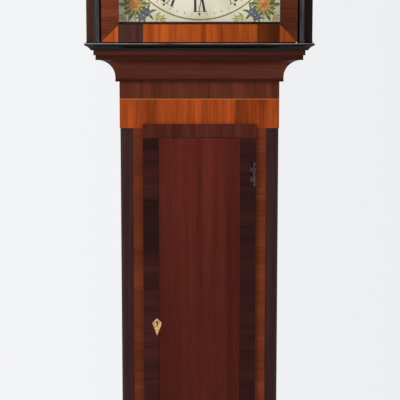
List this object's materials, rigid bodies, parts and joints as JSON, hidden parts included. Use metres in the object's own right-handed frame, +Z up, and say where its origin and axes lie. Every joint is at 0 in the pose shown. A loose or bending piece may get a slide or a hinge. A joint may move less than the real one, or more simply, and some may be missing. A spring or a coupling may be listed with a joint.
{
  "type": "longcase clock",
  "caption": "Mahogany longcase clock with a square painted dial behind a glazed door, a slide-off hood with a swan-neck pediment, a crossbanded waist door and a striking pendulum movement",
  "frame": {"origin": "on the floor, at the centre of the clock's width and depth", "axes": "+Z up, +X to the right of a viewer who faces the dial, and the dial faces -Y"},
  "size_m": [0.518, 0.282, 2.2348],
  "materials": {
    "mahogany": "polished figured mahogany",
    "dark_mahogany": "dark polished mahogany",
    "crossbanding": "light crossbanded veneer",
    "dark_banding": "dark crossbanded veneer",
    "ebonised": "ebonised and polished",
    "oak": "unpolished oak",
    "stringing": "light inlaid line",
    "bone": "inlaid bone",
    "brass": "lacquered brass",
    "bright_brass": "polished brass",
    "steel": "polished steel",
    "blued_steel": "blued steel",
    "iron": "cast iron",
    "dial_paint": "painted dial",
    "glass": "window glass",
    "gut": "twisted gut line",
    "bell_metal": "cast bell metal"
  },
  "bodies": {
    "case": {"backboard": "oak", "waist_sides": "dark_mahogany", "waist_stiles": "crossbanding", "waist_rails": "crossbanding", "frieze_rail": "dark_mahogany", "frieze_stringing": "stringing", "quarter_columns": "dark_mahogany", "throat_moulding": "mahogany", "base_panel": "mahogany", "base_carcass": "dark_mahogany", "base_moulding": "mahogany", "plinth": "dark_mahogany", "frame_hinge_leaves": "steel", "dial": "dial_paint", "movement_frame": "brass", "rear_brackets": "steel", "bell": "bell_metal", "seatboard": "oak", "line_ends": "gut", "going_line": "gut", "strike_line": "gut"},
    "waist_door": {"door_board": "mahogany", "door_banding": "dark_banding", "door_escutcheon": "bone", "door_lock": "brass", "door_hinge_leaves": "steel"},
    "lock_bolt": {"lock_bolt": "steel"},
    "hood": {"hood_base_moulding": "ebonised", "hood_boards": "dark_mahogany", "hood_frame": "dark_mahogany", "hood_columns": "ebonised", "hood_frieze": "mahogany", "hood_cornice": "dark_mahogany", "swan_necks": "dark_mahogany", "pediment": "mahogany", "hood_brasses": "bright_brass"},
    "hood_door": {"hood_door_frame": "crossbanding", "hood_door_glass": "glass", "hood_door_knob": "bright_brass"},
    "minute_work": {"centre_wheels": "brass", "minute_hand": "blued_steel"},
    "hour_work": {"hour_wheel": "brass", "hour_hand": "blued_steel"},
    "minute_wheel": {"minute_wheel": "brass"},
    "third_wheel": {"third_wheel": "brass"},
    "escape_work": {"escape_wheel": "brass", "seconds_hand": "blued_steel"},
    "going_great_wheel": {"going_great_wheel": "brass"},
    "going_barrel": {"going_barrel": "brass"},
    "strike_great_wheel": {"strike_great_wheel": "brass"},
    "strike_barrel": {"strike_barrel": "brass"},
    "pin_wheel": {"pin_wheel": "brass"},
    "hammer": {"hammer": "steel"},
    "anchor": {"anchor": "steel"},
    "pendulum": {"pendulum_rod": "steel", "pendulum_bob": "bright_brass"},
    "going_weight": {"going_weight": "iron"},
    "going_pulley": {"going_pulley": "brass"},
    "strike_weight": {"strike_weight": "iron"},
    "strike_pulley": {"strike_pulley": "brass"}
  },
  "joints": [
    {"name": "waist_door_hinge", "type": "hinge", "parent": "case", "child": "waist_door", "pos_m": [0.1143, -0.0521, 1.01], "axis": [0, 0, 1], "range_deg": [0, 110]},
    {"name": "lock_bolt_slide", "type": "slide", "parent": "waist_door", "child": "lock_bolt", "axis": [-1, 0, 0], "range_m": [0, 0.007]},
    {"name": "hood_slide", "type": "slide", "parent": "case", "child": "hood", "axis": [0, -1, 0], "range_m": [0, 0.26]},
    {"name": "hood_door_hinge", "type": "hinge", "parent": "hood", "child": "hood_door", "pos_m": [0.1955, -0.1065, 1.802], "axis": [0, 0, 1], "range_deg": [0, 115]},
    {"name": "minute_hand_turn", "type": "hinge", "parent": "case", "child": "minute_work", "pos_m": [0, -0.0445, 1.802], "axis": [0, 1, 0], "continuous": true},
    {"name": "hour_hand_turn", "type": "hinge", "parent": "case", "child": "hour_work", "pos_m": [0, -0.0445, 1.802], "axis": [0, 1, 0], "continuous": true},
    {"name": "minute_wheel_turn", "type": "hinge", "parent": "case", "child": "minute_wheel", "pos_m": [-0.01909, -0.0445, 1.78291], "axis": [0, 1, 0], "continuous": true},
    {"name": "third_wheel_turn", "type": "hinge", "parent": "case", "child": "third_wheel", "pos_m": [0, -0.0445, 1.8309], "axis": [0, 1, 0], "continuous": true},
    {"name": "escape_wheel_turn", "type": "hinge", "parent": "case", "child": "escape_work", "pos_m": [0, -0.0445, 1.8545], "axis": [0, 1, 0], "continuous": true},
    {"name": "going_great_wheel_turn", "type": "hinge", "parent": "case", "child": "going_great_wheel", "pos_m": [0.0365, -0.0445, 1.792], "axis": [0, 1, 0], "continuous": true},
    {"name": "going_barrel_turn", "type": "hinge", "parent": "case", "child": "going_barrel", "pos_m": [0.0365, -0.0445, 1.792], "axis": [0, 1, 0], "continuous": true},
    {"name": "strike_great_wheel_turn", "type": "hinge", "parent": "case", "child": "strike_great_wheel", "pos_m": [-0.0365, -0.0445, 1.792], "axis": [0, 1, 0], "continuous": true},
    {"name": "strike_barrel_turn", "type": "hinge", "parent": "case", "child": "strike_barrel", "pos_m": [-0.0365, -0.0445, 1.792], "axis": [0, 1, 0], "continuous": true},
    {"name": "pin_wheel_turn", "type": "hinge", "parent": "case", "child": "pin_wheel", "pos_m": [-0.04603, -0.0445, 1.82755], "axis": [0, 1, 0], "continuous": true},
    {"name": "hammer_lift", "type": "hinge", "parent": "case", "child": "hammer", "pos_m": [-0.056, -0.0445, 1.882], "axis": [0, -1, 0], "range_deg": [0, 5], "stiffness_Nm_per_rad": 0.05, "springref_deg": -5.73},
    {"name": "anchor_rock", "type": "hinge", "parent": "case", "child": "anchor", "pos_m": [0, 0.0675, 1.8825], "axis": [0, 1, 0], "range_deg": [-3.5, 3.5]},
    {"name": "pendulum_swing", "type": "hinge", "parent": "case", "child": "pendulum", "pos_m": [0, 0.0675, 1.8825], "axis": [0, 1, 0], "range_deg": [-3.5, 3.5]},
    {"name": "going_weight_rise", "type": "slide", "parent": "case", "child": "going_weight", "axis": [0, 0, 1], "range_m": [0, 1.2], "deforming": ["going_line"]},
    {"name": "going_pulley_turn", "type": "hinge", "parent": "going_weight", "child": "going_pulley", "pos_m": [0.0421, 0.0155, 0.416], "axis": [0, 1, 0], "continuous": true},
    {"name": "strike_weight_rise", "type": "slide", "parent": "case", "child": "strike_weight", "axis": [0, 0, 1], "range_m": [0, 1.2], "deforming": ["strike_line"]},
    {"name": "strike_pulley_turn", "type": "hinge", "parent": "strike_weight", "child": "strike_pulley", "pos_m": [-0.0421, 0.0155, 0.416], "axis": [0, 1, 0], "continuous": true}
  ],
  "couplings": [
    {"joint": "hour_hand_turn", "follows": "minute_hand_turn", "ratio": 0.083333},
    {"joint": "minute_wheel_turn", "follows": "minute_hand_turn", "ratio": -1},
    {"joint": "third_wheel_turn", "follows": "minute_hand_turn", "ratio": -7.5},
    {"joint": "escape_wheel_turn", "follows": "minute_hand_turn", "ratio": 60},
    {"joint": "going_great_wheel_turn", "follows": "minute_hand_turn", "ratio": -0.083333},
    {"joint": "pin_wheel_turn", "follows": "strike_great_wheel_turn", "ratio": -10.5},
    {"joint": "anchor_rock", "follows": "pendulum_swing", "ratio": 1},
    {"joint": "going_barrel_turn", "follows": "going_weight_rise", "rad_per_m": -78.125},
    {"joint": "going_pulley_turn", "follows": "going_weight_rise", "rad_per_m": -50},
    {"joint": "strike_barrel_turn", "follows": "strike_weight_rise", "rad_per_m": 78.125},
    {"joint": "strike_pulley_turn", "follows": "strike_weight_rise", "rad_per_m": 50}
  ]
}
